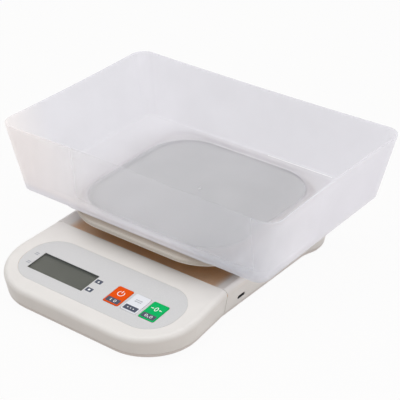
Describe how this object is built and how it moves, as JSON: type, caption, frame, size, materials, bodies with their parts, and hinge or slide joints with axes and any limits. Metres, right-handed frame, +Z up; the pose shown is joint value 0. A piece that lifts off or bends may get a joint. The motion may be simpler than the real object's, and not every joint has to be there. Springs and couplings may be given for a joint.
{
  "type": "digital table scale",
  "caption": "Electronic table scale: low off-white base with a sloped control pod, square platform on a load cell, and a large translucent lift-off weighing tray.",
  "frame": {"origin": "middle of the bounding box in plan, on the surface the feet stand on", "axes": "+X along the panel's reading direction, to its right; +Y from the panel towards the back of the tray; +Z up"},
  "size_m": [0.2622, 0.2474, 0.1069],
  "materials": {
    "housing": "satin moulded",
    "lower_case": "satin moulded",
    "tray": "frosted translucent",
    "platform": "satin moulded",
    "grey_pad": "matt",
    "support": "fine grain",
    "film": "fine matt print",
    "orange_key": "satin print",
    "white_key": "satin print",
    "green_key": "satin print",
    "window": "clear",
    "lcd": "display glass",
    "spreader": "milky",
    "frame_black": "moulded",
    "contact_rubber": "soft",
    "foot_rubber": "matt",
    "board": "solder mask",
    "component": "moulded",
    "connector": "moulded",
    "can": "bare",
    "beam": "machined",
    "steel": "zinc plated",
    "socket_metal": "nickel plated",
    "sealant": "cured",
    "battery_wrap": "shrink wrap",
    "foam": "foam tape",
    "grey_cable": "matt",
    "red_wire": "matt",
    "black_wire": "matt"
  },
  "bodies": {
    "base": {"upper_housing": "housing", "lower_housing": "lower_case", "housing_screws": "steel", "front_left_foot": "foot_rubber", "front_right_foot": "foot_rubber", "rear_left_foot": "foot_rubber", "rear_right_foot": "foot_rubber", "load_cell": "beam", "load_cell_spacer": "steel", "load_cell_screws": "steel", "gauge_sealant": "sealant", "overload_screws": "steel", "control_overlay": "film", "switch_bodies": "component", "display_window": "window", "lcd_glass": "lcd", "zebra_strips": "contact_rubber", "lcd_frame": "frame_black", "backlight_panel": "spreader", "main_board": "board", "board_screws": "steel", "controller_chip": "component", "board_cans": "can", "board_connectors": "connector", "usb_socket": "socket_metal", "usb_tongue": "component", "charge_board": "board", "charge_screws": "steel", "charge_chips": "component", "battery_cell": "battery_wrap", "battery_pad": "foam", "load_cell_cable": "grey_cable", "power_lead": "red_wire", "battery_lead_left": "black_wire", "battery_lead_right": "red_wire"},
    "platform": {"platform_plate": "platform", "platform_pad": "grey_pad", "platform_support": "support", "platform_screws": "steel", "support_screws": "steel"},
    "tray": {"weighing_tray": "tray"},
    "power_button": {"power_key": "orange_key", "power_switch_stem": "component"},
    "unit_button": {"unit_key": "white_key", "unit_switch_stem": "component"},
    "zero_button": {"zero_key": "green_key", "zero_switch_stem": "component"}
  },
  "joints": [
    {"name": "platform_travel", "type": "slide", "parent": "base", "child": "platform", "axis": [0, 0, -1], "range_m": [0, 0.0005], "stiffness_N_per_m": 20000, "springref_m": -0.0004},
    {"name": "tray_lift", "type": "slide", "parent": "platform", "child": "tray", "axis": [0, 0, 1], "range_m": [0, 0.06]},
    {"name": "power_key_press", "type": "slide", "parent": "base", "child": "power_button", "axis": [0, 0.075, -0.9972], "range_m": [0, 0.0003], "stiffness_N_per_m": 1000, "springref_m": -0.0002},
    {"name": "unit_key_press", "type": "slide", "parent": "base", "child": "unit_button", "axis": [0, 0.075, -0.9972], "range_m": [0, 0.0003], "stiffness_N_per_m": 1000, "springref_m": -0.0002},
    {"name": "zero_key_press", "type": "slide", "parent": "base", "child": "zero_button", "axis": [0, 0.075, -0.9972], "range_m": [0, 0.0003], "stiffness_N_per_m": 1000, "springref_m": -0.0002}
  ]
}
